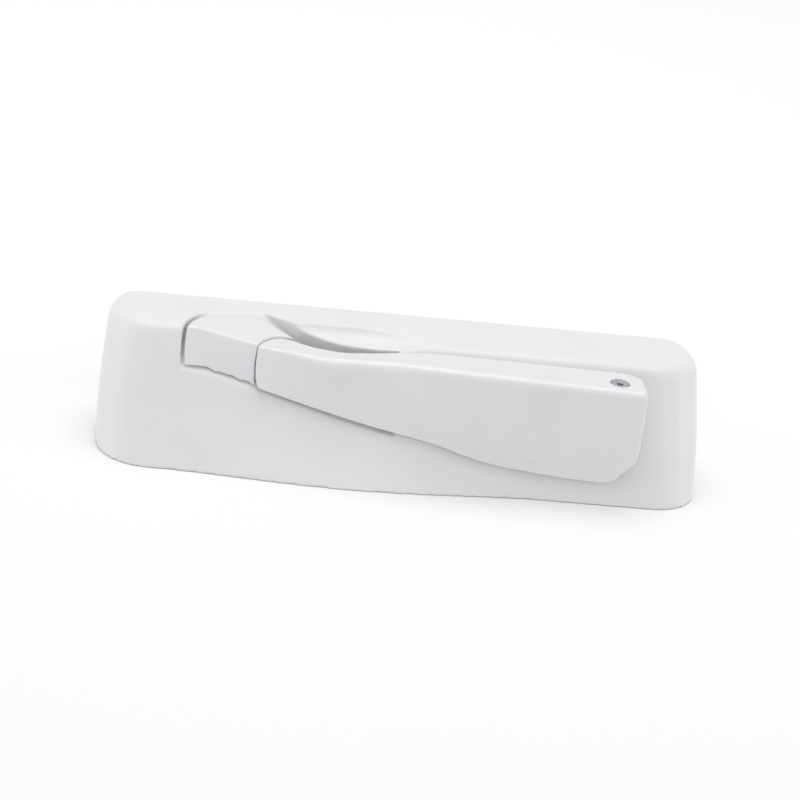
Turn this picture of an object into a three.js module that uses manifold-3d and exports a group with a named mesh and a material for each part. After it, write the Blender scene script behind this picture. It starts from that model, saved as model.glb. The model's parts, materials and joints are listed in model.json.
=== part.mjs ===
// Casement window operator: a moulded cover, a folding crank handle that nests in it,
// and the worm, sector gear and sash arm that it hides.
// Millimetres. +X runs along the cover to the hub end, -Y faces the room and +Z is up.
// The origin is on the sill face, at the middle of the cover.
import * as THREE from "three";
import { mergeVertices } from "three/addons/utils/BufferGeometryUtils.js";
import Module from "manifold-3d";

const wasm = await Module();
wasm.setup();

// Driving dimensions.
const clearance = 0.3; // between pieces that touch
const sliver = 0.012; // cuts leave no edge shorter than this
const coverLength = 160;
const coverHeight = 32;
const coverDepth = 41; // at the sill
const topDepth = 21; // of the level top
const coverWall = 2;
const endTaper = 7; // how much each end narrows towards the back
const endFlare = 3.6; // how much further each end stands out at the top
const ridgeFillet = 3.8; // between the top and the leaning front
const frontCorner = 13; // plan radius of the front corners
const backCorner = 2;
const bowDepth = 3.6; // how far the lower front edge bows out
const bowHeight = 20; // where the bow has died out
const bowFromStud = 8; // the bow ends short of the flat round the stud
const scoopDepth = 3; // of the valley in the top behind the handle's neck

const studFromEnd = 32.6; // stud axis to the right end, along the cover
const studDrop = 13; // stud's face point below the top
const handleFromRight = 18.3; // paddle end to the cover's right end
const handleFromLeft = 20.6; // knob tip to the cover's left end
const knobLength = 28.3; // tip to knob axis
const knobJointRadius = 9.5;
const knobJointDrop = 7.5; // where the knob axis meets the face, below the top
const nestGap = 1; // round the knob and the neck
const nestFloorSlope = 0.62; // rise of the nest's floor per millimetre of depth
const armGap = 0.5; // between the arm's back and the cover's face
const armRidgeFillet = 3;
const armEdge = 1.1; // thickness of the arm's thin lower edge
const lowCornerRadius = 6; // of the paddle's lower right corner
const foldRange = 30; // degrees

const pinRadius = 2.4;
const pinLength = 7.4;
const pinFromStud = 7.6;
const pinBehindRidge = 8.6; // pin axis, in front of the cover's ridge
const eyeRadius = 4.2;
const eyeHeight = 4;
const hubRadius = 6;
const hubLength = 4.6;
const studRadius = 3.2;

const shaftRadius = 4;
const meshDepth = 14; // along the shaft, from the face to the sector gear
const wormRadius = 4;
const wormRoot = 2.5;
const wormPitchRadius = 3.4;
const wormLength = 8; // from its middle to the bearings
const gearPitchRadius = 17;
const teethPerTurn = 36;
const gearThickness = 5;
const toothThickness = 0.84;
const toothHeight = 1.6;

const sashArmThickness = 2.5;
const sashArmWidth = 13;
const sashArmOffset = 7.5; // of the arm's long leg behind the cover
const sashArmTipFromLeft = 18; // roller axis to the cover's left end
const rollerRadius = 6;
const rollerHeight = 7;
const pivotRadius = 4;
const baseThickness = 3;
const bushingWall = 1.6;
const plateThickness = 1.5;

// Worked out from the driving dimensions.
const halfLength = coverLength / 2;
const backY = coverDepth / 2;
const leanRatio = (coverDepth - topDepth) / coverHeight;
const lean = Math.atan(leanRatio);
const sinLean = Math.sin(lean);
const cosLean = Math.cos(lean);
const ridgeY = backY - topDepth;
const studX = halfLength - studFromEnd;
const studZ = coverHeight - studDrop;
const studY = planeY(studZ);
const pinX = studX + pinFromStud;
const pinY = ridgeY - pinBehindRidge;
const paddleEndX = halfLength - handleFromRight;
const knobTipX = -halfLength + handleFromLeft;
const knobAxisX = knobTipX + knobLength;
const knobAxisY = planeY(coverHeight - knobJointDrop);
const armReach = studX - knobAxisX;
const meshY = studY + meshDepth * cosLean;
const meshZ = studZ - meshDepth * sinLean;
const pivotX = studX - wormPitchRadius - gearPitchRadius;
const gearBottomZ = meshZ - gearThickness / 2;
const gearTopZ = meshZ + gearThickness / 2;
const sashArmZ = gearTopZ + clearance;
const sashArmTopZ = sashArmZ + sashArmThickness;
const legY = backY + sashArmOffset;
const tipX = -halfLength + sashArmTipFromLeft;
const plateZ = sashArmTopZ + 2 * clearance + 0.4;
const transversePitch = (2 * Math.PI * gearPitchRadius) / teethPerTurn;
const shaftEnd = -meshDepth - wormLength - 2.6;
const leadSlip = (transversePitch * sinLean) / (2 * Math.PI * wormPitchRadius);
const lead = (transversePitch * cosLean) / (1 + leadSlip);

// The stud's frame: local Z comes out of the face, local X is the cover's X.
const studFrame = new THREE.Matrix4().makeBasis(
  new THREE.Vector3(1, 0, 0),
  new THREE.Vector3(0, sinLean, cosLean),
  new THREE.Vector3(0, -cosLean, sinLean),
);
studFrame.setPosition(studX, studY, studZ);

// Finishes.
const paint = {
  whitePlastic: [0xeeedee, 0.45, 0],
  whiteEnamel: [0xeceaf0, 0.35, 0],
  steel: [0xb9bcc0, 0.3, 1],
  zinc: [0x9fa2a6, 0.5, 1],
  blackRubber: [0x242424, 0.8, 0],
  nylon: [0xdcd8cc, 0.5, 0],
  bronze: [0xb08a55, 0.4, 1],
};

// The plain plane of the front face, without its bow.
function planeY(z) {
  return -backY + leanRatio * z;
}

// How far the front bows out from its plane, between the left corner and the stud.
function bowAt(x, z) {
  const left = frontCorner - halfLength;
  const right = studX - bowFromStud;
  const across = Math.min(Math.max((2 * x - left - right) / (right - left), -1), 1);
  return bowDepth * Math.max(0, 1 - z / bowHeight) ** 2 * (1 - across ** 2) ** 2;
}

// Makes a three.js geometry into a solid that can be joined and cut.
function solid(geometry) {
  const bare = geometry.clone();
  bare.deleteAttribute("normal");
  bare.deleteAttribute("uv");
  const merged = mergeVertices(bare, 1e-4);
  return new wasm.Manifold(
    new wasm.Mesh({
      numProp: 3,
      vertProperties: merged.attributes.position.array,
      triVerts: new Uint32Array(merged.index.array),
    }),
  );
}

// Adds a solid to the object as a named mesh.
const group = new THREE.Group();
function addNode(name, body, finish) {
  const mesh = body.simplify(sliver).getMesh();
  const geometry = new THREE.BufferGeometry();
  geometry.setAttribute("position", new THREE.BufferAttribute(new Float32Array(mesh.vertProperties), 3));
  geometry.setIndex(new THREE.BufferAttribute(new Uint32Array(mesh.triVerts), 1));
  geometry.computeVertexNormals();
  const [color, roughness, metalness] = paint[finish];
  const node = new THREE.Mesh(geometry, new THREE.MeshStandardMaterial({ color, roughness, metalness }));
  node.name = name;
  group.add(node);
}

// A closed body through rings of points that all have the same count.
function loft(rings) {
  const count = rings[0].length;
  const points = rings.flat();
  const faces = [];
  for (let i = 0; i + 1 < rings.length; i += 1) {
    for (let j = 0; j < count; j += 1) {
      const a = i * count + j;
      const b = i * count + ((j + 1) % count);
      faces.push(a, b, b + count, a, b + count, a + count);
    }
  }
  const capEnd = (ring, first, flip) => {
    const middle = ring.reduce((sum, p) => sum.add(p), new THREE.Vector3()).divideScalar(count);
    const hub = points.length;
    points.push(middle);
    for (let j = 0; j < count; j += 1) {
      const a = first + j;
      const b = first + ((j + 1) % count);
      faces.push(...(flip ? [hub, b, a] : [hub, a, b]));
    }
  };
  capEnd(rings[0], 0, true);
  capEnd(rings[rings.length - 1], (rings.length - 1) * count, false);
  const geometry = new THREE.BufferGeometry().setFromPoints(points);
  geometry.setIndex(faces);
  const body = solid(geometry);
  if (body.volume() >= 0) {
    return body;
  }
  for (let k = 0; k < faces.length; k += 3) {
    [faces[k + 1], faces[k + 2]] = [faces[k + 2], faces[k + 1]];
  }
  geometry.setIndex(faces);
  return solid(geometry);
}

// An outline in plan, pushed up from one height to another.
function prism(outline, fromZ, toZ) {
  const shape = new THREE.Shape(outline.map(([x, y]) => new THREE.Vector2(x, y)));
  const geometry = new THREE.ExtrudeGeometry(shape, { depth: toZ - fromZ, bevelEnabled: false });
  return solid(geometry.translate(0, 0, fromZ));
}

function block(low, high) {
  const size = high.map((value, i) => value - low[i]);
  const geometry = new THREE.BoxGeometry(...size);
  return solid(geometry.translate(...low.map((value, i) => value + size[i] / 2)));
}

// A round bar along local Z, from one length to another, in any frame.
function rod(radius, from, to, frame, sides = 28, endRadius = radius) {
  const geometry = new THREE.CylinderGeometry(endRadius, radius, to - from, sides);
  geometry.rotateX(Math.PI / 2).translate(0, 0, (from + to) / 2);
  return solid(geometry.applyMatrix4(frame));
}

function upright(x, y) {
  return new THREE.Matrix4().makeTranslation(x, y, 0);
}

// A value that runs smoothly through a few stations of [place, value].
function through(stations) {
  const curve = new THREE.SplineCurve(stations.map(([at, value]) => new THREE.Vector2(at, value)));
  const last = stations.length - 1;
  return (at) => {
    if (at <= stations[0][0]) {
      return stations[0][1];
    }
    if (at >= stations[last][0]) {
      return stations[last][1];
    }
    let low = 0;
    let high = 1;
    for (let step = 0; step < 30; step += 1) {
      const middle = (low + high) / 2;
      if (curve.getPoint(middle).x < at) {
        low = middle;
      } else {
        high = middle;
      }
    }
    return curve.getPoint(low).y;
  };
}

// Half of the cover's width at a depth y, less the inset of the rounded top.
function coverHalfWidth(y, inset) {
  const along = Math.min(Math.max((y - ridgeY) / (backY - ridgeY), 0), 1.1);
  return halfLength - inset - endTaper * along ** 1.5;
}

// How far the front stands out at a height, with the fillet under the ridge.
function coverFrontY(z, top, grow) {
  const filletZ = top - ridgeFillet;
  if (z <= filletZ + ridgeFillet * sinLean) {
    return planeY(z) - grow / cosLean;
  }
  const centreY = -backY - grow / cosLean + (sinLean * filletZ + ridgeFillet) / cosLean;
  return centreY - Math.sqrt(Math.max(ridgeFillet ** 2 - (z - filletZ) ** 2, 0));
}

// The cover's outline at a height. A negative grow gives the hollow inside.
function coverRing(z, top, grow, back) {
  const filletZ = top - ridgeFillet;
  const rise = Math.max(z - filletZ, 0);
  const rounding = ridgeFillet - Math.sqrt(Math.max(ridgeFillet ** 2 - rise ** 2, 0));
  const inset = rounding - grow - endFlare * (z / coverHeight) ** 2;
  const corner = frontCorner + grow;
  const frontY = coverFrontY(z, top, grow);
  const bowShare = grow < 0 ? 0 : 1;
  const sideTurn = (y) => Math.atan((coverHalfWidth(y - 0.05, 0) - coverHalfWidth(y + 0.05, 0)) / 0.1);
  let startY = frontY + corner;
  for (let step = 0; step < 20; step += 1) {
    startY = frontY + corner * (1 + Math.sin(sideTurn(startY)));
  }
  const turn = sideTurn(startY);
  const centreX = coverHalfWidth(startY, inset) - corner * Math.cos(turn);
  const front = [];
  for (let k = 0; k <= 28; k += 1) {
    const x = centreX * (k / 14 - 1);
    front.push([x, frontY - bowShare * bowAt(x, z)]);
  }
  const half = [];
  for (let k = 1; k <= 12; k += 1) {
    const angle = -Math.PI / 2 + ((turn + Math.PI / 2) * k) / 12;
    half.push([centreX + corner * Math.cos(angle), frontY + corner + corner * Math.sin(angle)]);
  }
  const sideEnd = back - backCorner;
  for (let k = 1; k <= 6; k += 1) {
    const y = startY + ((sideEnd - startY) * k) / 6;
    half.push([coverHalfWidth(y, inset), y]);
  }
  half.push([coverHalfWidth(sideEnd, inset) - backCorner * 0.45, back - backCorner * 0.35]);
  half.push([coverHalfWidth(sideEnd, inset) - backCorner * 1.3, back]);
  half.push([0, back]);
  const mirrored = half.slice(0, -1).reverse();
  const ring = [...front, ...half, ...mirrored.map(([x, y]) => [-x, y])];
  return ring.map(([x, y]) => new THREE.Vector3(x, y, z));
}

// Heights of the rings: even below the fillet and close together through it.
function coverLevels(bottom, top) {
  const filletZ = top - ridgeFillet;
  const levels = [bottom, 3, 6, 10, 15, 20, filletZ - 1.5];
  for (let k = 0; k <= 7; k += 1) {
    levels.push(filletZ + ridgeFillet * Math.sin((k * Math.PI) / 14));
  }
  return levels;
}

// The knob's outline in plan, grown outwards to make its nest.
function knobOutline(grow) {
  const backReach = backY - 7.3 + grow;
  const left = knobTipX - grow;
  const curve = new THREE.CubicBezierCurve(
    new THREE.Vector2(left, ridgeY - 1),
    new THREE.Vector2(left + 0.6, ridgeY + 6.5),
    new THREE.Vector2(left + 8, backReach - 0.6),
    new THREE.Vector2(knobTipX + 18.5, backReach),
  );
  const points = curve.getPoints(10).map((p) => [p.x, p.y]);
  return [[left, -coverDepth], ...points];
}

// Everything above the nest's sloping floor, from one side to the other.
function aboveFloor(fromX, toX, sink) {
  const rings = [];
  const steps = 12;
  for (let k = 0; k <= steps; k += 1) {
    const x = fromX + ((toX - fromX) * k) / steps;
    const seamZ = lowerEdgeZ(x) - sink;
    const seamY = planeY(seamZ);
    const backEnd = backY + 5;
    rings.push([
      new THREE.Vector3(x, -2 * coverDepth, seamZ),
      new THREE.Vector3(x, seamY, seamZ),
      new THREE.Vector3(x, backEnd, seamZ + (backEnd - seamY) * nestFloorSlope),
      new THREE.Vector3(x, backEnd, coverHeight * 2),
      new THREE.Vector3(x, -2 * coverDepth, coverHeight * 2),
    ]);
  }
  return loft(rings);
}

// Drops of the handle's lower edge below the cover's top, along its reach.
const lowerEdgeDrop = through([
  [-0.3, 9],
  [-0.11, 12.2],
  [0.15, 16.6],
  [0.29, 18.6],
  [0.48, 21],
  [0.69, 24.6],
  [0.99, 26.6],
  [1.2, 26.4],
]);

function lowerEdgeZ(x) {
  return coverHeight - lowerEdgeDrop((x - knobAxisX) / armReach);
}

// The arm's ridge and top: distance in front of the face plane, and drop below the top.
const ridgeStandOut = through([
  [-0.12, 0.2],
  [0, 2.4],
  [0.1, 5.6],
  [0.2, 6.6],
  [0.32, 8.6],
  [0.46, 11.6],
  [0.7, 12.6],
  [1.2, 13.6],
]);
const topDrop = through([
  [-0.12, 2.9],
  [0.08, 2.9],
  [0.25, 2.1],
  [0.45, 0.9],
  [0.7, 1],
  [1.2, 1.6],
]);
const backReachIn = through([
  [-0.12, 8.2],
  [0, 6.4],
  [0.06, 3.2],
  [0.14, 1],
  [0.25, 0],
  [1.2, 0],
]);

// The arm's section at a place along it: a wedge, thick at the top.
function armSection(x) {
  const at = (x - knobAxisX) / armReach;
  const topZ = coverHeight - topDrop(at);
  const lowZ = lowerEdgeZ(x);
  const gapY = armGap / cosLean;
  const top = new THREE.Vector2(planeY(topZ) - gapY + backReachIn(at), topZ);
  const ridge = new THREE.Vector2(planeY(topZ) - gapY - ridgeStandOut(at), topZ);
  const low = new THREE.Vector2(planeY(lowZ) - gapY - bowAt(x, lowZ), lowZ);
  const lip = new THREE.Vector2(low.x - armEdge, lowZ + 0.3);
  const fillet = Math.min(armRidgeFillet, ridgeStandOut(at) * 0.45 + 0.4);
  const flat = new THREE.Vector2(1, 0);
  const down = lip.clone().sub(ridge).normalize();
  const points = [top.clone().add(new THREE.Vector2(0, -0.5)), top.clone().add(new THREE.Vector2(-0.5, 0))];
  const from = ridge.clone().addScaledVector(flat, fillet);
  const to = ridge.clone().addScaledVector(down, fillet);
  const bend = new THREE.QuadraticBezierCurve(from, ridge, to);
  points.push(...bend.getPoints(6), lip, low);
  return points.map((p) => new THREE.Vector3(x, p.x, p.y));
}

// The rounded end that the knob turns on.
function jointBarrel(grow) {
  return rod(knobJointRadius + grow, -coverHeight, coverHeight * 2, upright(knobAxisX, knobAxisY), 40);
}

// The handle's body before its pockets are cut.
function armBody() {
  const from = knobAxisX - knobJointRadius - 1;
  const rings = [];
  const steps = 30;
  for (let k = 0; k <= steps; k += 1) {
    rings.push(armSection(from + ((paddleEndX - from) * k) / steps));
  }
  const leftPart = block(
    [from - 1, -coverDepth, -1],
    [knobAxisX, coverDepth, coverHeight * 2],
  );
  const body = loft(rings).subtract(leftPart.subtract(jointBarrel(0)));
  return body.intersect(paddleOutline());
}

// Plan outline that rounds the paddle's right end, and its lower corner seen from the front.
function paddleOutline() {
  const right = paddleEndX;
  const radius = 5;
  const backPoints = [];
  for (let k = 0; k <= 6; k += 1) {
    const angle = ((Math.PI / 2) * k) / 6;
    backPoints.push([right - radius + radius * Math.cos(angle), ridgeY - 6 + radius * Math.sin(angle)]);
  }
  const frontPoints = [];
  for (let k = 0; k <= 6; k += 1) {
    const angle = -Math.PI / 2 + ((Math.PI / 2) * k) / 6;
    const centreY = studY - 9.6 + 4;
    frontPoints.push([right - 4 + 4 * Math.cos(angle), centreY - 1.6 + 4 * Math.sin(angle)]);
  }
  const plan = prism(
    [[-coverLength, -coverDepth], [right - 4.6, -coverDepth], ...frontPoints, ...backPoints, [-coverLength, coverDepth]],
    -1,
    coverHeight * 2,
  );
  const lowest = (lowerEdgeZ(right) - studZ) / cosLean - 0.4;
  const lowCorner = new THREE.Shape();
  lowCorner.moveTo(-coverLength, -coverDepth);
  lowCorner.lineTo(right - studX - lowCornerRadius, -coverDepth);
  lowCorner.lineTo(right - studX - lowCornerRadius, lowest);
  lowCorner.absarc(right - studX - lowCornerRadius, lowest + lowCornerRadius, lowCornerRadius, -Math.PI / 2, 0);
  lowCorner.lineTo(right - studX, coverDepth);
  lowCorner.lineTo(-coverLength, coverDepth);
  const front = new THREE.ExtrudeGeometry(lowCorner, { depth: 3 * coverDepth, bevelEnabled: false, curveSegments: 8 });
  return plan.intersect(solid(front.translate(0, 0, -coverDepth).applyMatrix4(studFrame)));
}

// Room for the hub inside the arm.
function hubPocket() {
  let boss = rod(hubRadius + 0.6, -4, hubLength + 0.7, studFrame, 32);
  for (let degrees = 5; degrees <= foldRange; degrees += 5) {
    boss = boss.add(rod(hubRadius + 0.6, -4, hubLength + 0.7, foldedBack(degrees).multiply(studFrame), 32));
  }
  const eye = rod(eyeRadius + 0.4, eyeBottomZ - clearance, eyeBottomZ + eyeHeight + clearance, upright(pinX, pinY));
  const web = block(
    [studX - 1.2, pinY - eyeRadius - 0.4, eyeBottomZ - clearance],
    [pinX, coverDepth, eyeBottomZ + eyeHeight + clearance],
  );
  const behind = block(
    [pinX, pinY, eyeBottomZ - clearance],
    [pinX + eyeRadius + 0.4, coverDepth, eyeBottomZ + eyeHeight + clearance],
  );
  return boss.add(eye).add(web).add(behind);
}

const eyeBottomZ = coverHeight - 8.2;
const pinTopZ = coverHeight - 1.9;

// The turn about the hinge pin that takes the hub's side to where the folded-out arm sees it.
function foldedBack(degrees) {
  const turn = new THREE.Matrix4().makeRotationZ((-degrees * Math.PI) / 180);
  return upright(pinX, pinY).multiply(turn).multiply(upright(-pinX, -pinY));
}

// What the cover's face would reach when the arm is folded right out, seen from the arm.
function foldRelief() {
  const wedge = rod(coverLength, -coverLength, armGap * 0.6, foldedBack(foldRange).multiply(studFrame), 4);
  return wedge.intersect(block([pinX - 20, -coverDepth, -coverHeight], [halfLength, coverDepth, coverHeight * 2]));
}

function handleArm() {
  const pinHole = rod(pinRadius + clearance, pinTopZ - pinLength - clearance, coverHeight * 2, upright(pinX, pinY));
  const screwHole = knobPinHole(clearance);
  const body = armBody().subtract(hubPocket()).subtract(pinHole).subtract(foldRelief()).subtract(screwHole);
  return largest(body);
}

// The biggest of the pieces that a cut leaves.
function largest(body) {
  const bodies = body.decompose();
  bodies.sort((a, b) => b.volume() - a.volume());
  return bodies[0];
}

// The knob's pin goes in from below, so its hole is open there.
function knobPinHole(grow) {
  return rod(knobPinRadius + grow, knobPinBottomZ - 20 * grow, knobPinTopZ + grow, upright(knobAxisX, knobAxisY), 20);
}

const knobPinRadius = 1.2;
const knobPinTopZ = coverHeight - 6;
const knobPinBottomZ = coverHeight - 11;
// The knob: its plan outline, cut by the face, the top and the nest's floor.
function handleKnob() {
  const outline = [...knobOutline(0), [knobAxisX + 0.8, knobAxisY + knobJointRadius + 0.2], [knobAxisX, -coverDepth]];
  const topZ = (x, y) => coverHeight - 2.9 + 0.187 * (y - ridgeY + 1.8) - 0.147 * (x - knobAxisX + 9.5);
  const corners = [
    [knobTipX - 2, -coverDepth],
    [knobAxisX + 2, -coverDepth],
    [knobAxisX + 2, coverDepth],
    [knobTipX - 2, coverDepth],
  ];
  const under = loft([
    corners.map(([x, y]) => new THREE.Vector3(x, y, -coverHeight)),
    corners.map(([x, y]) => new THREE.Vector3(x, y, topZ(x, y))),
  ]);
  const behindFace = rod(coverLength * 2, -coverLength, -0.05, studFrame, 4);
  const body = prism(outline, -1, coverHeight - 0.1)
    .subtract(jointBarrel(clearance))
    .intersect(under)
    .intersect(behindFace)
    .intersect(aboveFloor(knobTipX - 2, knobAxisX + 3, 0));
  return largest(body);
}

// The nest that holds the knob and the neck, open at the top and the front.
function nest(grow) {
  const gap = nestGap + grow;
  const scoopEndX = knobAxisX + armReach * 0.36;
  const neckBackY = knobAxisY + knobJointRadius + gap + 1.2;
  const outline = [
    ...knobOutline(gap),
    [knobAxisX + 1 + gap, neckBackY],
    [knobAxisX + armReach * 0.16, ridgeY + 3.4 + grow],
    [scoopEndX + grow, ridgeY + 0.4],
    [scoopEndX + grow, -coverDepth],
  ];
  const plan = prism(outline, -1, coverHeight * 2);
  return plan.intersect(aboveFloor(knobTipX - 4, scoopEndX + 4, gap));
}

// The valley in the cover's top that lets a finger reach behind the neck.
function scoop(grow) {
  const rise = 2.5;
  const geometry = new THREE.SphereGeometry(1, 36, 18);
  geometry.scale(armReach * 0.33 + grow, 9 + grow, scoopDepth + rise + grow);
  return solid(geometry.translate(knobAxisX + armReach * 0.16, ridgeY + 1.5, coverHeight + rise));
}

function coverShell() {
  const outer = loft(coverLevels(0, coverHeight).map((z) => coverRing(z, coverHeight, 0, backY)));
  const innerTop = coverHeight - coverWall;
  const levels = coverLevels(-1, innerTop);
  const inner = loft(levels.map((z) => coverRing(z, innerTop, -coverWall, backY + 3)));
  const studHole = rod(shaftRadius + 1.6, -coverWall * 3, 4, studFrame);
  const hollow = inner.subtract(nest(coverWall)).subtract(scoop(coverWall));
  return largest(outer.subtract(nest(0)).subtract(scoop(0)).subtract(hollow).subtract(studHole));
}

// A screw, rivet or clip is a small turned piece in some frame.
function headedPin(frame, headRadius, headHeight, radius, length) {
  return rod(headRadius, 0, headHeight, frame, 20).add(rod(radius, -length, 0.01, frame, 20));
}

function studSeal() {
  const ring = rod(shaftRadius + 1.4, -coverWall, 0.3, studFrame);
  return ring.subtract(rod(shaftRadius + clearance, -coverWall - 1, 1, studFrame));
}

// The worm: a shaft with one thread wound round its middle.
function wormShaft() {
  const bar = rod(wormRoot, shaftEnd, -meshDepth + wormLength, studFrame);
  const front = rod(shaftRadius, -meshDepth + wormLength * 0.75, 0.4, studFrame);
  const stud = rod(studRadius, 0.3, hubLength - 1, studFrame, 12);
  return bar.add(front).add(stud).add(wormThread());
}

function wormThread() {
  const turns = 3.4;
  const perTurn = 20;
  const steps = Math.round(turns * perTurn);
  const rings = [];
  for (let k = 0; k <= steps; k += 1) {
    const angle = ((k - steps / 2) * 2 * Math.PI) / perTurn;
    const along = -meshDepth + lead / 2 + (angle * lead) / (2 * Math.PI);
    const spin = angle + Math.PI;
    const section = [
      [wormRoot - 0.3, -0.62],
      [wormRadius, -0.34],
      [wormRadius, 0.34],
      [wormRoot - 0.3, 0.62],
    ];
    rings.push(
      section.map(([radius, step]) => {
        const point = new THREE.Vector3(radius * Math.cos(spin), radius * Math.sin(spin), along + step);
        return point.applyMatrix4(studFrame);
      }),
    );
  }
  return loft(rings);
}

// The sector gear: a plate with teeth that lean to follow the worm's thread.
function sectorGear() {
  const frame = upright(pivotX, meshY);
  const rim = gearPitchRadius - toothHeight + 0.6;
  const disc = rod(rim, gearBottomZ, gearTopZ, frame, 48);
  const cut = block([pivotX - 40, meshY + 6, 0], [pivotX + 3, meshY + 40, coverHeight]);
  const frontCut = block([pivotX - 40, meshY - 40, 0], [pivotX + 40, meshY - 9.5, coverHeight]);
  const leadTurn = Math.tan(lead / (2 * Math.PI * wormPitchRadius));
  const lead2 = (sinLean + cosLean * leadTurn) / (cosLean - sinLean * leadTurn);
  let body = disc.subtract(cut).subtract(frontCut);
  const normalShare = cosLean - sinLean * leadTurn;
  for (let k = -2; k <= 7; k += 1) {
    const ringAt = (z) => {
      const section = [
        [rim - 0.5, -toothThickness / 2 - 0.12],
        [rim + toothHeight - 0.3, -toothThickness / 2 + 0.12],
        [rim + toothHeight - 0.3, toothThickness / 2 - 0.12],
        [rim - 0.5, toothThickness / 2 + 0.12],
      ];
      const turn = (k * 2 * Math.PI) / teethPerTurn + ((z - meshZ) * lead2) / gearPitchRadius;
      return section.map(([out, side]) => {
        const point = new THREE.Vector3(out, side / normalShare, z);
        point.applyAxisAngle(new THREE.Vector3(0, 0, 1), turn);
        return point.add(new THREE.Vector3(pivotX, meshY, 0));
      });
    };
    body = body.add(loft([ringAt(gearBottomZ), ringAt(meshZ), ringAt(gearTopZ)]));
  }
  return body.subtract(rod(pivotRadius + clearance, 0, coverHeight, frame)).subtract(armRivetHoles());
}

const rivetRadius = 1.8;
const rivetPlaces = [
  [pivotX - 9, meshY + 2],
  [pivotX - 6, meshY - 5.5],
];

function armRivetHoles() {
  const [a, b] = rivetPlaces.map(([x, y]) => rod(rivetRadius + clearance, 0, coverHeight, upright(x, y), 20));
  return a.add(b);
}

function armRivet([x, y]) {
  return headedPin(upright(x, y).multiply(new THREE.Matrix4().makeTranslation(0, 0, sashArmTopZ + 0.3)), 2.8, 0.5, rivetRadius, sashArmTopZ + 0.3 - gearBottomZ);
}

// The cranked steel arm that pushes the sash.
function sashArm() {
  const half = sashArmWidth / 2;
  const elbowX = pivotX - 14;
  const outline = new THREE.Shape();
  outline.moveTo(pivotX + half, meshY);
  outline.lineTo(pivotX + half, meshY - 4);
  outline.quadraticCurveTo(pivotX + half, meshY - 9, pivotX, meshY - 9);
  outline.lineTo(pivotX - 10, meshY - 9);
  outline.lineTo(elbowX - half, legY - half - 6);
  outline.quadraticCurveTo(elbowX - half - 2, legY - half, elbowX - half - 8, legY - half);
  outline.lineTo(tipX, legY - half);
  outline.absarc(tipX, legY, half, -Math.PI / 2, Math.PI / 2, true);
  outline.lineTo(elbowX, legY + half);
  outline.quadraticCurveTo(elbowX + 6, legY + half, elbowX + 9, legY + half - 6);
  outline.lineTo(pivotX + half, meshY + 2);
  const geometry = new THREE.ExtrudeGeometry(outline, { depth: sashArmThickness, bevelEnabled: false, curveSegments: 10 });
  const plate = solid(geometry.translate(0, 0, sashArmZ));
  const pivotHole = rod(pivotRadius + clearance, 0, coverHeight, upright(pivotX, meshY));
  const rollerHole = rod(rivetRadius + clearance, 0, coverHeight, upright(tipX, legY), 20);
  return plate.subtract(pivotHole).subtract(rollerHole).subtract(armRivetHoles());
}

function rollerFrame(z) {
  return new THREE.Matrix4().makeTranslation(tipX, legY, z);
}

function armRoller() {
  const top = sashArmZ - clearance;
  const ring = rod(rollerRadius, top - rollerHeight, top, upright(tipX, legY));
  return ring.subtract(rod(rivetRadius + clearance, 0, coverHeight, upright(tipX, legY), 20));
}

function rollerRivet() {
  const length = sashArmThickness + rollerHeight + 2 * clearance;
  const shank = headedPin(rollerFrame(sashArmTopZ + 0.3), 3.2, 0.8, rivetRadius, length + 0.3);
  return shank.add(rod(3.2, sashArmZ - rollerHeight - 1.4, sashArmZ - rollerHeight - 0.6, upright(tipX, legY), 20));
}

// The die-cast base: a plate, two bearing bosses on pedestals, and the seat of the pivot.
function operatorBase() {
  const halfBase = halfLength - 14;
  const front = -backY + 6.5;
  const back = backY - 4;
  const plate = roundedPlate(halfBase, front, back, 6, baseThickness);
  const outerRadius = shaftRadius + bushingWall + 1.8;
  const frontBoss = rod(outerRadius, frontBossStart, -2.9, studFrame);
  const rearBoss = rod(wormRoot + bushingWall + 2, -meshDepth - wormLength, rearBossEnd, studFrame);
  const frontFoot = pedestal(frontBossStart + 0.3, -3.2, 3.2);
  const rearFoot = pedestal(-meshDepth - wormLength + 0.3, rearBossEnd - 0.2, 2.6);
  const seat = rod(pivotRadius + 3, 0, gearBottomZ - clearance, upright(pivotX, meshY));
  const [standoffX, standoffY] = plateScrewPlaces[0];
  const standoff = rod(3, 0, plateZ - clearance, upright(standoffX, standoffY), 20);
  const clipPosts = clipPlaces.map((x) => block([x - 5, back - 5, 0], [x + 5, back - 2.5, 12]));
  let body = plate.add(frontBoss).add(rearBoss).add(frontFoot).add(rearFoot).add(seat);
  [standoff, ...clipPosts].forEach((piece) => {
    body = body.add(piece);
  });
  const bore = rod(shaftRadius + bushingWall + clearance, -meshDepth, 0, studFrame);
  const rearBore = rod(wormRoot + bushingWall + clearance, shaftEnd - 3, -meshDepth, studFrame);
  const gearRoom = rod(gearPitchRadius + 2.6, gearBottomZ - clearance, sashArmTopZ + 0.6, upright(pivotX, meshY), 40);
  const wormRoom = rod(wormRadius + 1, rearBossEnd, frontBossStart, studFrame);
  const clipRoom = rod(wormRoot + 2.6, shaftEnd - 3, -meshDepth - wormLength, studFrame);
  body = body.subtract(bore).subtract(rearBore).subtract(wormRoom).subtract(clipRoom).subtract(gearRoom);
  body = body.subtract(plateScrewHoles());
  body = body.subtract(rod(2.5 + clearance, 1.6, coverHeight, upright(pivotX, meshY)));
  screwHolePlaces.forEach(([x, y]) => {
    body = body.subtract(rod(2.4, -1, baseThickness + 1, upright(x, y), 20));
  });
  return largest(body.intersect(block([-halfLength, -coverDepth, 0], [halfLength, backY, coverHeight])));
}

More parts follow.
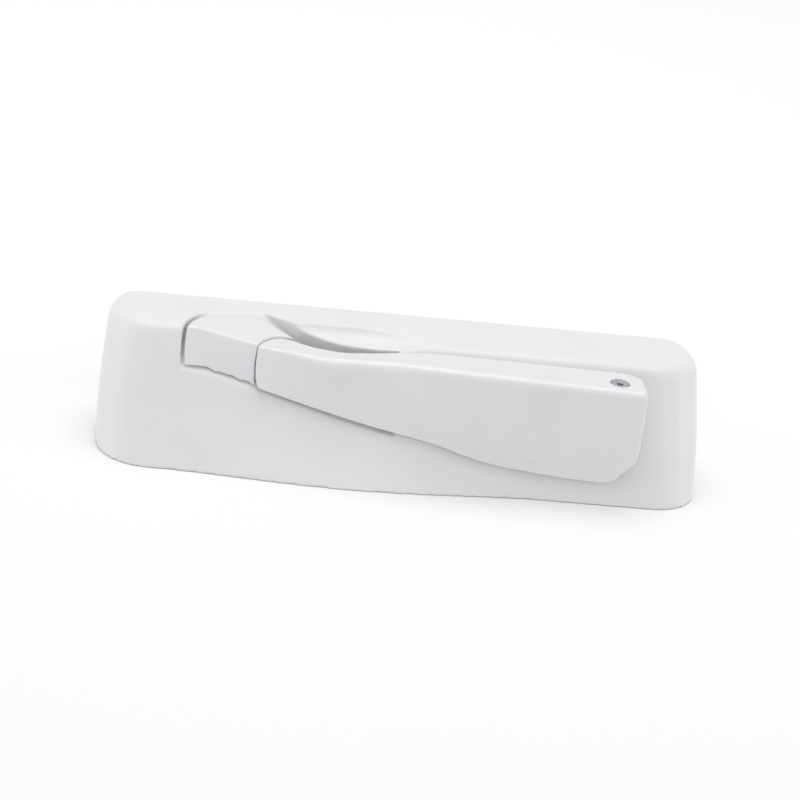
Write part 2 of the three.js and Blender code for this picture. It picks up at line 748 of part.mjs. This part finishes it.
const frontBossStart = -meshDepth + wormLength * 0.96;
const rearBossEnd = -meshDepth - wormLength + 3;
const screwHolePlaces = [
  [-halfLength + 24, -6],
  [-halfLength + 24, 9],
  [-4, -6],
  [halfLength - 20, -6],
];
const clipPlaces = [-halfLength + 40, 5.4];
const plateScrewPlaces = [
  [pivotX - 22, meshY - 4],
  [pivotX, meshY],
];

// Threaded holes for the two screws of the plate, in the standoff and in the pivot post.
function plateScrewHoles() {
  const [a, b] = plateScrewPlaces.map(([x, y]) => rod(1.8, plateZ - 5, coverHeight, upright(x, y), 20));
  return a.add(b);
}

function pedestal(from, to, half) {
  const at = (s, z) => new THREE.Vector3(0, studY - s * cosLean, z);
  const rings = [studX - half, studX + half].map((x) => {
    const high = [at(from, studZ + from * sinLean), at(to, studZ + to * sinLean)];
    const low = [at(to, 0), at(from, 0)];
    return [...high, ...low].map((p) => new THREE.Vector3(x, p.y, p.z));
  });
  return loft(rings);
}

function roundedPlate(half, front, back, radius, height) {
  const shape = new THREE.Shape();
  shape.moveTo(-half + radius, front);
  shape.lineTo(half - radius, front);
  shape.absarc(half - radius, front + radius, radius, -Math.PI / 2, 0);
  shape.lineTo(half, back - radius);
  shape.absarc(half - radius, back - radius, radius, 0, Math.PI / 2);
  shape.lineTo(-half + radius, back);
  shape.absarc(-half + radius, back - radius, radius, Math.PI / 2, Math.PI);
  shape.lineTo(-half, front + radius);
  shape.absarc(-half + radius, front + radius, radius, Math.PI, Math.PI * 1.5);
  return solid(new THREE.ExtrudeGeometry(shape, { depth: height, bevelEnabled: false, curveSegments: 5 }));
}

function bushing(inner, from, to) {
  const ring = rod(inner + bushingWall, from, to, studFrame);
  return ring.subtract(rod(inner + 0.08, from - 1, to + 1, studFrame));
}

function shaftClip() {
  const from = -meshDepth - wormLength - 1.4;
  const ring = rod(wormRoot + 1.6, from, from + 0.9, studFrame, 24);
  return ring.subtract(rod(wormRoot + clearance, from - 1, from + 2, studFrame, 24));
}

function pivotPost() {
  const post = rod(pivotRadius, gearBottomZ, sashArmTopZ + 0.3, upright(pivotX, meshY));
  return post.add(rod(2.5, 1.9, gearBottomZ + 0.1, upright(pivotX, meshY))).subtract(plateScrewHoles());
}

function gearPlate() {
  const outline = [
    [pivotX - 26, meshY - 8.5],
    [pivotX + 9, meshY - 8.5],
    [pivotX + 9, meshY + 5],
    [pivotX - 6, meshY + 7],
    [pivotX - 26, meshY],
  ];
  let plate = prism(outline, plateZ, plateZ + plateThickness);
  plateScrewPlaces.forEach(([x, y]) => {
    plate = plate.subtract(rod(1.5 + clearance, 0, coverHeight, upright(x, y), 20));
  });
  return plate;
}

function plateScrew([x, y]) {
  const z = plateZ + plateThickness + clearance;
  const frame = new THREE.Matrix4().makeTranslation(x, y, z);
  const slot = block([x - 3, y - 0.35, z + 0.7], [x + 3, y + 0.35, z + 3]);
  return headedPin(frame, 2.8, 1.4, 1.5, plateThickness + clearance + 4).subtract(slot);
}

// A spring clip that straddles a post of the base and grips the cover's ribs.
function coverClip(x) {
  const y = backY - 4;
  const outer = block([x - 3.5, y - 6.4, 5], [x + 3.5, y - 1.1, 13.2]);
  return outer.subtract(block([x - 4, y - 5.3, 4], [x + 4, y - 2.2, 12.3]));
}

// The hub: a boss on the stud, with an eye for the hinge pin.
function handleHub() {
  const boss = rod(hubRadius, 0.9, hubLength, studFrame, 32);
  const eye = rod(eyeRadius, eyeBottomZ, eyeBottomZ + eyeHeight, upright(pinX, pinY));
  const web = block([studX, pinY - 2.6, eyeBottomZ], [pinX, pinY + 3, eyeBottomZ + eyeHeight]);
  const front = rod(coverLength, 0.7, coverDepth, studFrame, 4);
  const socket = rod(studRadius + clearance, 0, hubLength - 0.7, studFrame, 12);
  const pinHole = rod(pinRadius + 0.1, 0, coverHeight * 2, upright(pinX, pinY));
  const screwHole = rod(1.5 + clearance, -hubRadius - 1, 0, setScrewFrame, 16);
  return largest(boss.add(eye).add(web).intersect(front).subtract(socket).subtract(pinHole).subtract(screwHole));
}

// The set screw comes in from below, square to the stud.
const setScrewFrame = studFrame
  .clone()
  .multiply(new THREE.Matrix4().makeTranslation(0, 0, 3.6))
  .multiply(new THREE.Matrix4().makeRotationX(-Math.PI / 2));

function hubSetScrew() {
  const body = rod(1.5, -hubRadius + 0.5, -studRadius - 0.35, setScrewFrame, 16);
  return body.subtract(rod(0.7, -hubRadius, -hubRadius + 1.6, setScrewFrame, 6));
}

function hingePin() {
  const pin = rod(pinRadius, pinTopZ - pinLength, pinTopZ, upright(pinX, pinY), 32);
  return pin.subtract(rod(0.9, pinTopZ - 0.8, coverHeight * 2, upright(pinX, pinY), 16));
}

addNode("cover", coverShell(), "whitePlastic");
addNode("stud_seal", studSeal(), "blackRubber");
addNode("operator_base", operatorBase(), "zinc");
addNode("gear_plate", gearPlate(), "steel");
addNode("plate_screw_left", plateScrew(plateScrewPlaces[0]), "steel");
addNode("plate_screw_right", plateScrew(plateScrewPlaces[1]), "steel");
addNode("cover_clip_left", coverClip(clipPlaces[0]), "steel");
addNode("cover_clip_right", coverClip(clipPlaces[1]), "steel");
addNode("front_bushing", bushing(shaftRadius, frontBossStart, -2.9), "bronze");
addNode("rear_bushing", bushing(wormRoot, -meshDepth - wormLength, rearBossEnd - 0.7), "bronze");
addNode("worm_shaft", wormShaft(), "steel");
addNode("shaft_clip", shaftClip(), "steel");
addNode("pivot_post", pivotPost(), "steel");
addNode("sector_gear", sectorGear(), "steel");
addNode("sash_arm", sashArm(), "steel");
addNode("arm_rivet_left", armRivet(rivetPlaces[0]), "steel");
addNode("arm_rivet_right", armRivet(rivetPlaces[1]), "steel");
addNode("arm_roller", armRoller(), "nylon");
addNode("roller_rivet", rollerRivet(), "steel");
addNode("handle_hub", handleHub(), "zinc");
addNode("hub_set_screw", hubSetScrew(), "steel");
addNode("hinge_pin", hingePin(), "steel");
addNode("handle_arm", handleArm(), "whiteEnamel");
addNode("knob_pin", knobPinHole(0), "steel");
addNode("handle_knob", handleKnob(), "whiteEnamel");

export default group;
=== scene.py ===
import json
import math

import bpy
from mathutils import Matrix, Vector


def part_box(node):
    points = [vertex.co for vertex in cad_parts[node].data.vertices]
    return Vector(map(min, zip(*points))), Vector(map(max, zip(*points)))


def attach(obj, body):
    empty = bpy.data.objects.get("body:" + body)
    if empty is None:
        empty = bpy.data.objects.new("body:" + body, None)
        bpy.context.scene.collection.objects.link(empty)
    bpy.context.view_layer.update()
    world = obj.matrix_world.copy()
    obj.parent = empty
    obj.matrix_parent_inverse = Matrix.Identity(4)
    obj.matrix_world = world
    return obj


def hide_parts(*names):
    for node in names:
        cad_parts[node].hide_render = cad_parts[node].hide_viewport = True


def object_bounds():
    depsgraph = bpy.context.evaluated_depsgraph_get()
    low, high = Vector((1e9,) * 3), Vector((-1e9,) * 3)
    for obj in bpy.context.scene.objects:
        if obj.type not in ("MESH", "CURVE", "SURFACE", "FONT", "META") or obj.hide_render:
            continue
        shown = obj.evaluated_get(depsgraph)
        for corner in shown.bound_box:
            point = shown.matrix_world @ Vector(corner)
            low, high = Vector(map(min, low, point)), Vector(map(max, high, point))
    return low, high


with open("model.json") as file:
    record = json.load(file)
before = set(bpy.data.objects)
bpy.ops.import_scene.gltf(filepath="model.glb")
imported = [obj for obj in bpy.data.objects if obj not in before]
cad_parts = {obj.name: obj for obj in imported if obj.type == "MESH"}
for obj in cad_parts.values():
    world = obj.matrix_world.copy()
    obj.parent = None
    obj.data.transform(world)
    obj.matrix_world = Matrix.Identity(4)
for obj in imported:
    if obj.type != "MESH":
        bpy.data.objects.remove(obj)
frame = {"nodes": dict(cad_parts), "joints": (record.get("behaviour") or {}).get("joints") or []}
cadLow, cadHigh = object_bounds()
print("frame loaded:", len(frame["nodes"]), "nodes")


# one output socket, so that node maths can be written as Python
class Signal:
    def __init__(self, finish, socket):
        self.finish = finish
        self.socket = socket

    def maths(self, operation, first, second):
        return self.finish.node("ShaderNodeMath", {"operation": operation}, {0: first, 1: second})

    def __add__(self, other):
        return self.maths("ADD", self, other)

    def __radd__(self, other):
        return self.maths("ADD", other, self)

    def __sub__(self, other):
        return self.maths("SUBTRACT", self, other)

    def __rsub__(self, other):
        return self.maths("SUBTRACT", other, self)

    def __mul__(self, other):
        return self.maths("MULTIPLY", self, other)

    def __rmul__(self, other):
        return self.maths("MULTIPLY", other, self)


# a material and the nodes that feed its one shader
class Finish:
    def __init__(self, name):
        self.material = bpy.data.materials.new(name)
        self.material.use_nodes = True
        self.tree = self.material.node_tree
        self.shader = self.tree.nodes["Principled BSDF"]

    def node(self, kind, settings, inputs, output=0):
        made = self.tree.nodes.new(kind)
        for key, value in settings.items():
            setattr(made, key, value)
        for key, value in inputs.items():
            self.feed(made.inputs[key], value)
        return Signal(self, made.outputs[output])

    def feed(self, socket, value):
        if isinstance(value, Signal):
            self.tree.links.new(value.socket, socket)
        else:
            socket.default_value = value

    def set(self, **values):
        for key, value in values.items():
            self.feed(self.shader.inputs[key.replace("_", " ")], value)

    # the object's own coordinates, turned from metres into millimetres
    def millimetres(self, stretch=(1, 1, 1)):
        place = self.node("ShaderNodeTexCoord", {}, {}, "Object")
        scale = tuple(1000 * s for s in stretch)
        return self.node("ShaderNodeVectorMath", {"operation": "MULTIPLY"}, {0: place, 1: scale})

    # soft random patches about the given number of millimetres across
    def patches(self, across, detail=3, stretch=(1, 1, 1)):
        return self.node("ShaderNodeTexNoise", {}, {
            "Vector": self.millimetres(stretch), "Scale": 1 / across, "Detail": detail})

    # 0 below low and 1 above high
    def between(self, signal, low, high):
        return self.node("ShaderNodeMapRange", {"interpolation_type": "SMOOTHSTEP"}, {
            "Value": signal, "From Min": low, "From Max": high})

    def blend(self, amount, first, second):
        return self.node("ShaderNodeMix", {"data_type": "RGBA"}, {
            0: amount, 6: first, 7: second}, 2)

    def bump(self, height, strength, depth):
        return self.node("ShaderNodeBump", {}, {
            "Strength": strength, "Distance": depth / 1000, "Height": height})

    # small round marks: dust, pores or pits
    def specks(self, apart, size):
        cells = self.node("ShaderNodeTexVoronoi", {}, {
            "Vector": self.millimetres(), "Scale": 1 / apart}, "Distance")
        return 1 - self.between(cells, 0.4 * size / apart, size / apart)

    # raised edges, from how the surface bends
    def edges(self, low, high):
        point = self.node("ShaderNodeNewGeometry", {}, {}, "Pointiness")
        return self.between(point, low, high)


def colour(red, green, blue):
    return (red, green, blue, 1)


# sizes of patches, specks and grain are in millimetres, and so is each bump's depth
mouldedPlastic = {
    "face": colour(0.82, 0.82, 0.82), "shade": colour(0.795, 0.795, 0.797),
    "dust": colour(0.60, 0.58, 0.55), "flowSize": 26, "flowStretch": (1, 1.6, 1.6),
    "dustApart": 7, "dustSize": 0.22, "dustPatch": 18, "dustShown": 0.5,
    "rubbedSize": 11, "rubbedStretch": (1, 2.2, 2.2), "roughness": 0.36, "rubbedRoughness": 0.09,
    "dustRoughness": 0.12, "grainSize": 0.42, "waveSize": 1.6, "waveShare": 0.35,
    "bump": 0.16, "bumpDepth": 0.05, "ior": 1.46}


def coverFinish():
    made = Finish("satinMouldedPlastic")
    look = mouldedPlastic
    flow = made.patches(look["flowSize"], 2, look["flowStretch"])
    tone = made.blend(made.between(flow, 0.35, 0.7), look["face"], look["shade"])
    settled = made.between(made.patches(look["dustPatch"]), 0.5, 0.65)
    dust = made.specks(look["dustApart"], look["dustSize"]) * settled
    made.set(Base_Color=made.blend(dust * look["dustShown"], tone, look["dust"]))
    rubbed = made.between(made.patches(look["rubbedSize"], 4, look["rubbedStretch"]), 0.45, 0.75)
    made.set(Roughness=look["roughness"] + look["rubbedRoughness"] * rubbed + look["dustRoughness"] * dust)
    grain = made.patches(look["grainSize"], 2) + look["waveShare"] * made.patches(look["waveSize"], 2)
    made.set(Normal=made.bump(grain, look["bump"], look["bumpDepth"]))
    made.set(IOR=look["ior"])
    return made.material


bakedEnamel = {
    "face": colour(0.81, 0.805, 0.825), "shade": colour(0.785, 0.778, 0.805),
    # the lighter edge colour is a painted highlight on raised edges
    "thin": colour(0.86, 0.86, 0.865), "scuff": colour(0.60, 0.60, 0.62), "flowSize": 20,
    "thinFrom": 0.52, "thinTo": 0.56, "thinShown": 0.35, "thinRoughness": 0.05,
    "scratchSize": 3.4, "scratchStretch": (0.25, 2.6, 2.6), "scuffPatch": 24,
    "scuffShown": 0.18, "scuffRoughness": 0.1, "scuffDepth": 0.15, "roughness": 0.33,
    "peelSize": 1.1, "fineSize": 0.3, "fineShare": 0.2, "bump": 0.14, "bumpDepth": 0.06,
    "coat": 0.25, "coatRoughness": 0.12}


def enamelFinish():
    made = Finish("bakedEnamel")
    look = bakedEnamel
    flow = made.patches(look["flowSize"], 2)
    tone = made.blend(made.between(flow, 0.35, 0.7), look["face"], look["shade"])
    # painted highlight: raised edges, found from how the surface bends, are painted a lighter white, and
    # are also made a little glossier
    thin = made.edges(look["thinFrom"], look["thinTo"])
    tone = made.blend(thin * look["thinShown"], tone, look["thin"])
    scratches = made.between(made.patches(look["scratchSize"], 5, look["scratchStretch"]), 0.66, 0.74)
    scuffs = scratches * made.between(made.patches(look["scuffPatch"]), 0.5, 0.7)
    made.set(Base_Color=made.blend(scuffs * look["scuffShown"], tone, look["scuff"]))
    made.set(Roughness=look["roughness"] + look["scuffRoughness"] * scuffs - look["thinRoughness"] * thin)
    orangePeel = made.patches(look["peelSize"], 2) + look["fineShare"] * made.patches(look["fineSize"], 1)
    made.set(Normal=made.bump(orangePeel - look["scuffDepth"] * scuffs, look["bump"], look["bumpDepth"]))
    made.set(Coat_Weight=look["coat"], Coat_Roughness=look["coatRoughness"])
    return made.material


castZinc = {
    "face": colour(0.46, 0.465, 0.47), "dull": colour(0.33, 0.335, 0.34),
    "bloom": colour(0.58, 0.59, 0.58), "cloudSize": 9, "bloomSize": 2.2, "bloomShown": 0.4,
    "bloomMetal": 0.35, "roughness": 0.46, "cloudRoughness": 0.16, "bloomRoughness": 0.1,
    "skinSize": 0.7, "pitApart": 3, "pitSize": 0.35, "pitShare": 0.6, "bump": 0.3, "bumpDepth": 0.12}


def zincFinish():
    made = Finish("plainCastZinc")
    look = castZinc
    cloud = made.between(made.patches(look["cloudSize"], 4), 0.4, 0.68)
    tone = made.blend(cloud, look["face"], look["dull"])
    bloom = made.between(made.patches(look["bloomSize"], 5), 0.6, 0.72)
    made.set(Base_Color=made.blend(bloom * look["bloomShown"], tone, look["bloom"]))
    made.set(Metallic=1 - look["bloomMetal"] * bloom)
    made.set(Roughness=look["roughness"] + look["cloudRoughness"] * cloud + look["bloomRoughness"] * bloom)
    pits = made.specks(look["pitApart"], look["pitSize"])
    skin = made.patches(look["skinSize"], 4) - look["pitShare"] * pits
    made.set(Normal=made.bump(skin, look["bump"], look["bumpDepth"]))
    return made.material


platedSteel = {
    "face": colour(0.60, 0.61, 0.63), "line": colour(0.47, 0.48, 0.50),
    "stain": colour(0.36, 0.33, 0.29), "lineSize": 0.5, "stainSize": 6, "stainShown": 0.3,
    "stainMetal": 0.25, "roughness": 0.24, "lineRoughness": 0.14, "stainRoughness": 0.15,
    "bump": 0.22, "bumpDepth": 0.04, "rolled": (0.12, 2.4, 2.4), "turned": (1.2, 1.2, 5)}


def steelFinish(name, stretch):
    made = Finish(name)
    look = platedSteel
    lines = made.patches(look["lineSize"], 4, stretch)
    tone = made.blend(made.between(lines, 0.35, 0.7), look["face"], look["line"])
    stain = made.between(made.patches(look["stainSize"], 5), 0.62, 0.74)
    made.set(Base_Color=made.blend(stain * look["stainShown"], tone, look["stain"]))
    made.set(Metallic=1 - look["stainMetal"] * stain)
    made.set(Roughness=look["roughness"] + look["lineRoughness"] * lines + look["stainRoughness"] * stain)
    made.set(Normal=made.bump(lines, look["bump"], look["bumpDepth"]))
    return made.material


sealRubber = {
    "face": colour(0.022, 0.022, 0.023), "dusty": colour(0.085, 0.082, 0.078),
    "dustSize": 2.4, "roughness": 0.62, "dustRoughness": 0.2, "grainSize": 0.35,
    "bump": 0.3, "bumpDepth": 0.06}


def rubberFinish():
    made = Finish("sealRubber")
    look = sealRubber
    dusty = made.between(made.patches(look["dustSize"], 5), 0.48, 0.72)
    made.set(Base_Color=made.blend(dusty, look["face"], look["dusty"]))
    made.set(Roughness=look["roughness"] + look["dustRoughness"] * dusty)
    made.set(Normal=made.bump(made.patches(look["grainSize"], 3), look["bump"], look["bumpDepth"]))
    return made.material


naturalNylon = {
    "face": colour(0.74, 0.71, 0.62), "yellowed": colour(0.62, 0.55, 0.40),
    "greased": colour(0.34, 0.30, 0.23), "agedSize": 5, "agedShown": 0.5, "greaseSize": 3,
    "greaseShown": 0.35, "roughness": 0.4, "agedRoughness": 0.1, "greaseGloss": 0.14,
    "turnedSize": 0.4, "turnedStretch": (0.4, 0.4, 3), "bump": 0.2, "bumpDepth": 0.05}


def nylonFinish():
    made = Finish("naturalNylon")
    look = naturalNylon
    aged = made.between(made.patches(look["agedSize"], 3), 0.4, 0.7)
    tone = made.blend(aged * look["agedShown"], look["face"], look["yellowed"])
    greased = made.between(made.patches(look["greaseSize"], 5), 0.6, 0.72)
    made.set(Base_Color=made.blend(greased * look["greaseShown"], tone, look["greased"]))
    made.set(Roughness=look["roughness"] + look["agedRoughness"] * aged - look["greaseGloss"] * greased)
    turned = made.patches(look["turnedSize"], 2, look["turnedStretch"])
    made.set(Normal=made.bump(turned, look["bump"], look["bumpDepth"]))
    return made.material


sinteredBronze = {
    "face": colour(0.46, 0.30, 0.15), "dark": colour(0.26, 0.16, 0.08),
    "pore": colour(0.07, 0.045, 0.03), "cloudSize": 3, "poreApart": 0.7, "poreSize": 0.2,
    "poreShown": 0.8, "poreMetal": 0.6, "roughness": 0.42, "poreRoughness": 0.25,
    "grainSize": 0.5, "poreShare": 0.5, "bump": 0.3, "bumpDepth": 0.06}


def bronzeFinish():
    made = Finish("sinteredBronze")
    look = sinteredBronze
    cloud = made.between(made.patches(look["cloudSize"], 4), 0.4, 0.7)
    tone = made.blend(cloud, look["face"], look["dark"])
    pores = made.specks(look["poreApart"], look["poreSize"])
    made.set(Base_Color=made.blend(pores * look["poreShown"], tone, look["pore"]))
    made.set(Metallic=1 - look["poreMetal"] * pores)
    made.set(Roughness=look["roughness"] + look["poreRoughness"] * pores)
    grain = made.patches(look["grainSize"], 3) - look["poreShare"] * pores
    made.set(Normal=made.bump(grain, look["bump"], look["bumpDepth"]))
    return made.material


finishes = {
    "cover": coverFinish(), "enamel": enamelFinish(), "zinc": zincFinish(),
    "rolled": steelFinish("platedSteelSheet", platedSteel["rolled"]),
    "turned": steelFinish("turnedSteel", platedSteel["turned"]),
    "rubber": rubberFinish(), "nylon": nylonFinish(), "bronze": bronzeFinish()}
print("finishes made:", len(finishes))


mergeWithin = 0.00001  # vertices this close, in metres, are one


# 0 at the seam and the pin, where edges stay crisp, and 1 where they are well rounded
def weighEdges(piece, crispPlaces, reach):
    group = piece.vertex_groups.new(name="rounding")
    for vertex in piece.data.vertices:
        nearest = min((vertex.co - place).length - radius for place, radius in crispPlaces)
        weight = min(max(nearest / reach, 0), 1)
        group.add([vertex.index], weight, "REPLACE")
    return group.name


# turns a piece's modifiers into its mesh
def applyModifiers(piece):
    ready = piece.evaluated_get(bpy.context.evaluated_depsgraph_get())
    mesh = bpy.data.meshes.new_from_object(ready)
    piece.modifiers.clear()
    piece.data = mesh


# a smooth, soft-edged copy of a CAD node, which takes that node's place
def smoothCopy(node, settings):
    source = frame["nodes"][node]
    piece = bpy.data.objects.new(settings["name"], source.data.copy())
    bpy.context.scene.collection.objects.link(piece)
    piece.data.materials.clear()
    piece.data.materials.append(finishes[settings["finish"]])
    weld = piece.modifiers.new("weld", "WELD")
    weld.merge_threshold = mergeWithin
    remesh = piece.modifiers.new("evenMesh", "REMESH")
    remesh.mode = "VOXEL"
    remesh.voxel_size = settings["grid"] / 1000
    remesh.use_smooth_shade = True
    applyModifiers(piece)
    even = piece.modifiers.new("evenSteps", "SMOOTH")
    even.factor = 0.5
    even.iterations = settings["passes"]
    if settings["rounding"]:
        soften = piece.modifiers.new("roundEdges", "SMOOTH")
        soften.vertex_group = weighEdges(piece, settings["crisp"], settings["reach"] / 1000)
        soften.factor = 0.5
        soften.iterations = settings["rounding"]
    if settings["swell"]:
        swell = piece.modifiers.new("closeSeams", "DISPLACE")
        swell.mid_level = 0
        swell.strength = settings["swell"] / 1000
    applyModifiers(piece)
    for face in piece.data.polygons:
        face.use_smooth = True
        face.material_index = 0
    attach(piece, settings["body"])
    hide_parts(node)
    print("made", piece.name, len(piece.data.polygons), "faces")
    return piece


joints = {joint["name"]: joint for joint in frame["joints"]}
seamPlace = Vector(joints["knob_flip"]["pos_m"])
pinLow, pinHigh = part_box("hinge_pin")
pinPlace = (pinLow + pinHigh) / 2
pinTop = Vector((pinPlace.x, pinPlace.y, pinHigh.z))

# grid, reach and swell are in millimetres, and passes and rounding are smoothing steps
seamCrisp = 0.0105
pinCrisp = 0.0038

mouldedCover = {
    "name": "mouldedCover", "finish": "cover", "slot": "white_plastic",
    "body": "operator", "grid": 0.4, "passes": 4, "rounding": 0, "swell": 0}
crankArm = {
    "name": "crankArm", "finish": "enamel", "slot": "white_enamel", "body": "handle",
    "grid": 0.3, "passes": 3, "rounding": 26, "reach": 5, "swell": 0.06,
    "crisp": [(seamPlace, seamCrisp), (pinTop, pinCrisp)]}
foldingKnob = {
    "name": "foldingKnob", "finish": "enamel", "slot": "white_enamel", "body": "knob",
    "grid": 0.28, "passes": 3, "rounding": 26, "reach": 5, "swell": 0.06,
    "crisp": [(seamPlace, seamCrisp)]}

smoothCopy("cover", mouldedCover)
smoothCopy("handle_arm", crankArm)
smoothCopy("handle_knob", foldingKnob)


# CAD nodes whose shape stays, by the finish that each one gets
metalwork = {
    "zinc": ["operator_base", "handle_hub"],
    "rolled": ["gear_plate", "sector_gear", "sash_arm", "cover_clip_left", "cover_clip_right",
               "shaft_clip"],
    "turned": ["worm_shaft", "hinge_pin", "knob_pin", "hub_set_screw", "pivot_post",
               "plate_screw_left", "plate_screw_right", "arm_rivet_left", "arm_rivet_right",
               "roller_rivet"],
    "rubber": ["stud_seal"],
    "nylon": ["arm_roller"],
    "bronze": ["front_bushing", "rear_bushing"]}


brokenEdge = {"width": 0.00025, "share": 0.06, "segments": 2, "sharperThan": 38}


# broken edges and the finish, on a node that keeps its own mesh
def dress(node, finish):
    piece = frame["nodes"][node]
    low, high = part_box(node)
    smallest = min(high - low)
    weld = piece.modifiers.new("weld", "WELD")
    weld.merge_threshold = mergeWithin
    edge = piece.modifiers.new("brokenEdge", "BEVEL")
    edge.width = min(brokenEdge["width"], brokenEdge["share"] * smallest)
    edge.segments = brokenEdge["segments"]
    edge.limit_method = "ANGLE"
    edge.angle_limit = math.radians(brokenEdge["sharperThan"])
    for slot in piece.material_slots:
        slot.material = finishes[finish]


for finish, nodes in metalwork.items():
    for node in nodes:
        dress(node, finish)
print("metalwork dressed")


studio = {
    "floorReach": 3.0, "floorDrop": 0.0002, "floorTone": colour(0.96, 0.96, 0.96),
    "floorShade": colour(0.94, 0.94, 0.945), "skyTone": colour(1, 1, 1),
    "skyPower": 0.66, "topPower": 4.8, "topSize": 0.9, "topPlace": (0, 0.3, 1.05),
    "endPower": 1.5, "endSize": 0.7, "lampAim": Vector((0, 0, 0.02)),
    "endPlaces": {"leftLamp": (-1.1, -0.1, 0.35), "rightLamp": (1.1, -0.1, 0.35)}}


def floorFinish():
    made = Finish("paleFloor")
    cloud = made.between(made.patches(90, 3), 0.3, 0.7)
    made.set(Base_Color=made.blend(cloud * 0.2, studio["floorTone"], studio["floorShade"]))
    made.set(Roughness=0.62 + 0.08 * cloud)
    return made.material


def makeFloor():
    reach = studio["floorReach"]
    mesh = bpy.data.meshes.new("floor")
    level = cadLow.z - studio["floorDrop"]
    sides = [(-reach, -reach), (reach, -reach), (reach, reach), (-reach, reach)]
    mesh.from_pydata([(x, y, level) for x, y in sides], [], [(0, 1, 2, 3)])
    floor = bpy.data.objects.new("floor", mesh)
    bpy.context.scene.collection.objects.link(floor)
    mesh.materials.append(floorFinish())


def makeLamp(name, power, size, place):
    data = bpy.data.lights.new(name, "AREA")
    data.shape = "DISK"
    data.size = size
    data.energy = power
    lamp = bpy.data.objects.new(name, data)
    bpy.context.scene.collection.objects.link(lamp)
    lamp.location = place
    towards = studio["lampAim"] - Vector(place)
    lamp.rotation_euler = towards.to_track_quat("-Z", "Y").to_euler()


def makeSky():
    world = bpy.data.worlds.new("studio")
    world.use_nodes = True
    bpy.context.scene.world = world
    sky = world.node_tree.nodes["Background"]
    sky.inputs["Color"].default_value = studio["skyTone"]
    sky.inputs["Strength"].default_value = studio["skyPower"]


makeFloor()
makeSky()
makeLamp("topLamp", studio["topPower"], studio["topSize"], studio["topPlace"])
for name, place in studio["endPlaces"].items():
    makeLamp(name, studio["endPower"], studio["endSize"], place)
bpy.context.scene.view_settings.view_transform = "Standard"
print("studio lit")


viewpoint = {
    "target": Vector((-0.00186, -0.00643, 0.01885)),
    "toCamera": Vector((-0.1418, -0.9053, 0.4003)), "up": Vector((-0.0865, 0.4142, 0.9061)),
    "distance": 0.875, "lens": 150, "sensor": 36}


def makeCamera():
    data = bpy.data.cameras.new("viewer")
    data.lens = viewpoint["lens"]
    data.sensor_width = viewpoint["sensor"]
    camera = bpy.data.objects.new("viewer", data)
    bpy.context.scene.collection.objects.link(camera)
    back = viewpoint["toCamera"].normalized()
    right = viewpoint["up"].cross(back).normalized()
    turn = Matrix((right, back.cross(right), back)).transposed().to_4x4()
    place = viewpoint["target"] + viewpoint["distance"] * back
    camera.matrix_world = Matrix.Translation(place) @ turn
    bpy.context.scene.camera = camera


makeCamera()
print("camera placed")
